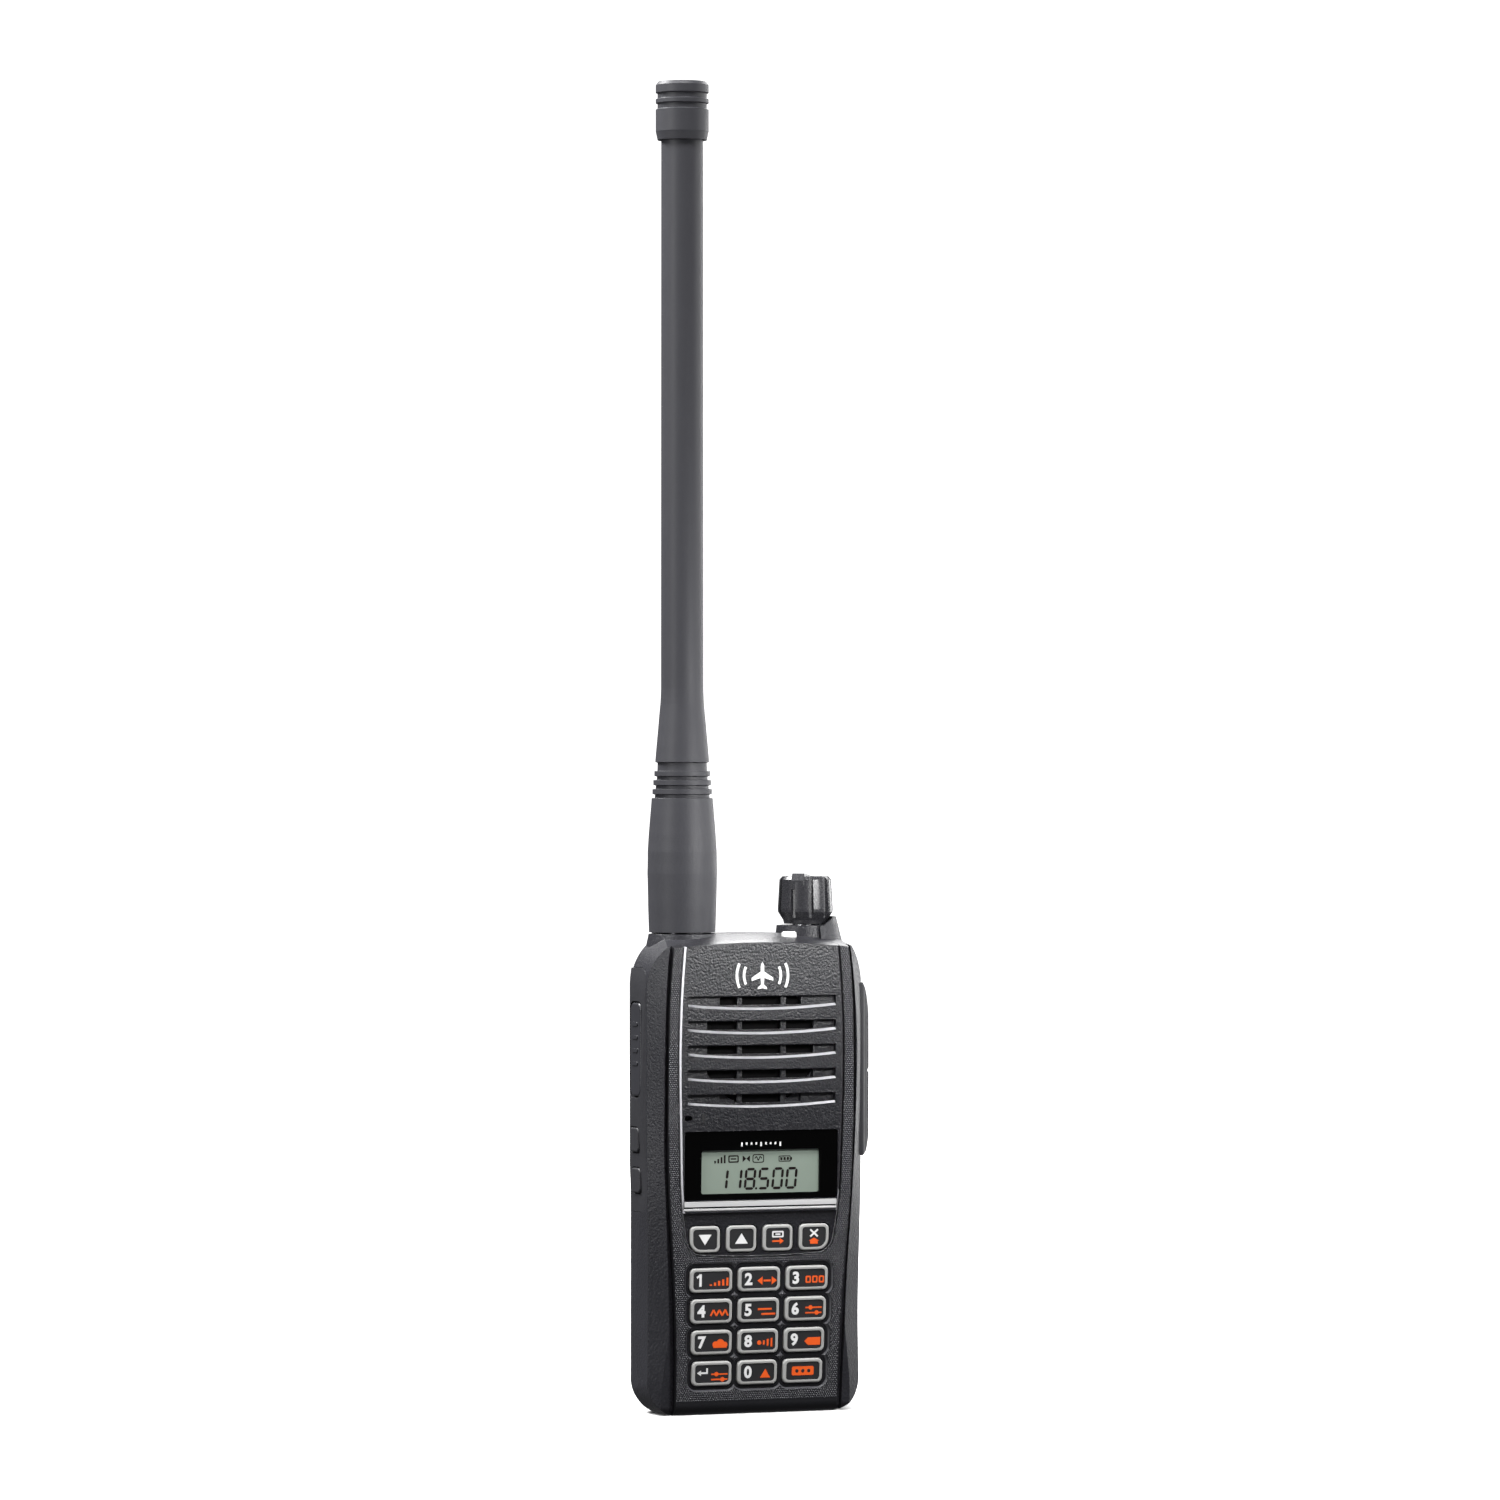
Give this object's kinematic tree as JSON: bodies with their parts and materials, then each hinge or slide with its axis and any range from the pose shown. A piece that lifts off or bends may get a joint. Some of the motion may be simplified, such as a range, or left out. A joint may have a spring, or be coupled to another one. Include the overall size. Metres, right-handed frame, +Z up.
{
  "type": "handheld aviation radio",
  "caption": "Hand-held airband radio with keypad, display, speaker slots, talk button, volume knob, bayonet antenna, jack cover, belt clip and rear battery pack.",
  "frame": {"origin": "on the flat bottom face, below the middle of the case", "axes": "+Z up to the antenna tip, -Y out of the keypad face, +X to the right as the keypad is read"},
  "size_m": [0.0567, 0.0298, 0.3098],
  "materials": {
    "case_plastic": "fine moulded grain",
    "chassis": "die casting, painted",
    "bezel_plastic": "knurled",
    "panel_plastic": "fine moulded grain, bright bevel",
    "speaker_cloth": "black dust net",
    "speaker": "black basket",
    "window": "black mask behind a clear window",
    "trim": "brushed silver",
    "lcd": "liquid-crystal panel",
    "holder": "white light guide",
    "key_rubber": "light grey rim, dark centre",
    "soft_rubber": "soft black",
    "talk_plastic": "satin with raised ribs",
    "board": "green circuit board",
    "steel": "bright",
    "jack_plastic": "black",
    "brass": "plated",
    "chrome": "nickel plated",
    "control": "can",
    "cells": "sleeved cells",
    "clip_plastic": "tough black",
    "lens": "white light pipe",
    "knob_rubber": "satin black",
    "antenna_rubber": "satin black",
    "core": "steel and glass-fibre core"
  },
  "bodies": {
    "radio": {"front_case": "case_plastic", "battery_case": "case_plastic", "rear_chassis": "chassis", "front_bezel": "bezel_plastic", "front_panel": "panel_plastic", "speaker_net": "speaker_cloth", "loudspeaker": "speaker", "display_window": "window", "display_trim": "trim", "display_glass": "lcd", "display_holder": "holder", "side_grip": "soft_rubber", "keypad_mat": "soft_rubber", "case_gasket": "soft_rubber", "key_board": "board", "main_board": "board", "side_switches": "board", "shield_cans": "steel", "case_screws": "steel", "clip_pin": "steel", "clip_spring": "steel", "volume_nut": "steel", "microphone": "steel", "accessory_jacks": "jack_plastic", "contact_block": "jack_plastic", "battery_cover": "jack_plastic", "battery_contacts": "brass", "antenna_socket": "chrome", "volume_control": "control", "battery_cells": "cells", "clip_base": "clip_plastic", "indicator_lens": "lens"},
    "talk_button": {"talk_button": "talk_plastic"},
    "upper_side_key": {"upper_side_key": "soft_rubber"},
    "lower_side_key": {"lower_side_key": "soft_rubber"},
    "volume_knob": {"volume_knob": "knob_rubber", "volume_shaft": "steel"},
    "antenna": {"antenna_whip": "antenna_rubber", "antenna_cap": "antenna_rubber", "antenna_core": "core", "antenna_plug": "brass"},
    "jack_cover": {"jack_cover": "soft_rubber"},
    "clip_lever": {"clip_lever": "clip_plastic"},
    "battery_latch": {"battery_latch": "jack_plastic"},
    "key_1": {"key_1": "key_rubber"},
    "key_2": {"key_2": "key_rubber"},
    "key_3": {"key_3": "key_rubber"},
    "key_4": {"key_4": "key_rubber"},
    "key_5": {"key_5": "key_rubber"},
    "key_6": {"key_6": "key_rubber"},
    "key_7": {"key_7": "key_rubber"},
    "key_8": {"key_8": "key_rubber"},
    "key_9": {"key_9": "key_rubber"},
    "key_enter": {"key_enter": "key_rubber"},
    "key_0": {"key_0": "key_rubber"},
    "key_function": {"key_function": "key_rubber"},
    "key_down": {"key_down": "key_rubber"},
    "key_up": {"key_up": "key_rubber"},
    "key_memory": {"key_memory": "key_rubber"},
    "key_clear": {"key_clear": "key_rubber"}
  },
  "joints": [
    {"name": "key_1_press", "type": "slide", "parent": "radio", "child": "key_1", "axis": [0, 0.9988, 0.0491], "range_m": [0, 0.0008], "stiffness_N_per_m": 600, "springref_m": -0.0012},
    {"name": "key_2_press", "type": "slide", "parent": "radio", "child": "key_2", "axis": [0, 0.9988, 0.0491], "range_m": [0, 0.0008], "stiffness_N_per_m": 600, "springref_m": -0.0012},
    {"name": "key_3_press", "type": "slide", "parent": "radio", "child": "key_3", "axis": [0, 0.9988, 0.0491], "range_m": [0, 0.0008], "stiffness_N_per_m": 600, "springref_m": -0.0012},
    {"name": "key_4_press", "type": "slide", "parent": "radio", "child": "key_4", "axis": [0, 0.9985, 0.0542], "range_m": [0, 0.0008], "stiffness_N_per_m": 600, "springref_m": -0.0012},
    {"name": "key_5_press", "type": "slide", "parent": "radio", "child": "key_5", "axis": [0, 0.9985, 0.0542], "range_m": [0, 0.0008], "stiffness_N_per_m": 600, "springref_m": -0.0012},
    {"name": "key_6_press", "type": "slide", "parent": "radio", "child": "key_6", "axis": [0, 0.9985, 0.0542], "range_m": [0, 0.0008], "stiffness_N_per_m": 600, "springref_m": -0.0012},
    {"name": "key_7_press", "type": "slide", "parent": "radio", "child": "key_7", "axis": [0, 0.9982, 0.0594], "range_m": [0, 0.0008], "stiffness_N_per_m": 600, "springref_m": -0.0012},
    {"name": "key_8_press", "type": "slide", "parent": "radio", "child": "key_8", "axis": [0, 0.9982, 0.0594], "range_m": [0, 0.0008], "stiffness_N_per_m": 600, "springref_m": -0.0012},
    {"name": "key_9_press", "type": "slide", "parent": "radio", "child": "key_9", "axis": [0, 0.9982, 0.0594], "range_m": [0, 0.0008], "stiffness_N_per_m": 600, "springref_m": -0.0012},
    {"name": "key_enter_press", "type": "slide", "parent": "radio", "child": "key_enter", "axis": [0, 0.9979, 0.0646], "range_m": [0, 0.0008], "stiffness_N_per_m": 600, "springref_m": -0.0012},
    {"name": "key_0_press", "type": "slide", "parent": "radio", "child": "key_0", "axis": [0, 0.9979, 0.0646], "range_m": [0, 0.0008], "stiffness_N_per_m": 600, "springref_m": -0.0012},
    {"name": "key_function_press", "type": "slide", "parent": "radio", "child": "key_function", "axis": [0, 0.9979, 0.0646], "range_m": [0, 0.0008], "stiffness_N_per_m": 600, "springref_m": -0.0012},
    {"name": "key_down_press", "type": "slide", "parent": "radio", "child": "key_down", "axis": [0, 0.9991, 0.0423], "range_m": [0, 0.0008], "stiffness_N_per_m": 600, "springref_m": -0.0012},
    {"name": "key_up_press", "type": "slide", "parent": "radio", "child": "key_up", "axis": [0, 0.9991, 0.0423], "range_m": [0, 0.0008], "stiffness_N_per_m": 600, "springref_m": -0.0012},
    {"name": "key_memory_press", "type": "slide", "parent": "radio", "child": "key_memory", "axis": [0, 0.9991, 0.0423], "range_m": [0, 0.0008], "stiffness_N_per_m": 600, "springref_m": -0.0012},
    {"name": "key_clear_press", "type": "slide", "parent": "radio", "child": "key_clear", "axis": [0, 0.9991, 0.0423], "range_m": [0, 0.0008], "stiffness_N_per_m": 600, "springref_m": -0.0012},
    {"name": "talk_press", "type": "slide", "parent": "radio", "child": "talk_button", "axis": [1, 0, 0], "range_m": [0, 0.001], "stiffness_N_per_m": 800, "springref_m": -0.001},
    {"name": "upper_side_press", "type": "slide", "parent": "radio", "child": "upper_side_key", "axis": [1, 0, 0], "range_m": [0, 0.0006], "stiffness_N_per_m": 600, "springref_m": -0.001},
    {"name": "lower_side_press", "type": "slide", "parent": "radio", "child": "lower_side_key", "axis": [1, 0, 0], "range_m": [0, 0.0006], "stiffness_N_per_m": 600, "springref_m": -0.001},
    {"name": "volume_turn", "type": "hinge", "parent": "radio", "child": "volume_knob", "pos_m": [0.0162, 0.001, 0.118], "axis": [0, 0, -1], "range_deg": [0, 270]},
    {"name": "antenna_turn", "type": "hinge", "parent": "radio", "child": "antenna", "pos_m": [-0.0148, 0.001, 0.118], "axis": [0, 0, 1], "range_deg": [0, 80]},
    {"name": "jack_cover_open", "type": "hinge", "parent": "radio", "child": "jack_cover", "pos_m": [0.027, -0.0018, 0.05935], "axis": [0, 1, 0], "range_deg": [0, 100], "stiffness_Nm_per_rad": 0.001, "springref_deg": -22.92},
    {"name": "clip_open", "type": "hinge", "parent": "radio", "child": "clip_lever", "pos_m": [0, 0.0156, 0.099], "axis": [1, 0, 0], "range_deg": [0, 12], "stiffness_Nm_per_rad": 1.5, "springref_deg": -5.73},
    {"name": "latch_press", "type": "hinge", "parent": "radio", "child": "battery_latch", "pos_m": [0, 0.0076, 0.0015], "axis": [1, 0, 0], "range_deg": [0, 20], "stiffness_Nm_per_rad": 0.05, "springref_deg": -11.46}
  ]
}
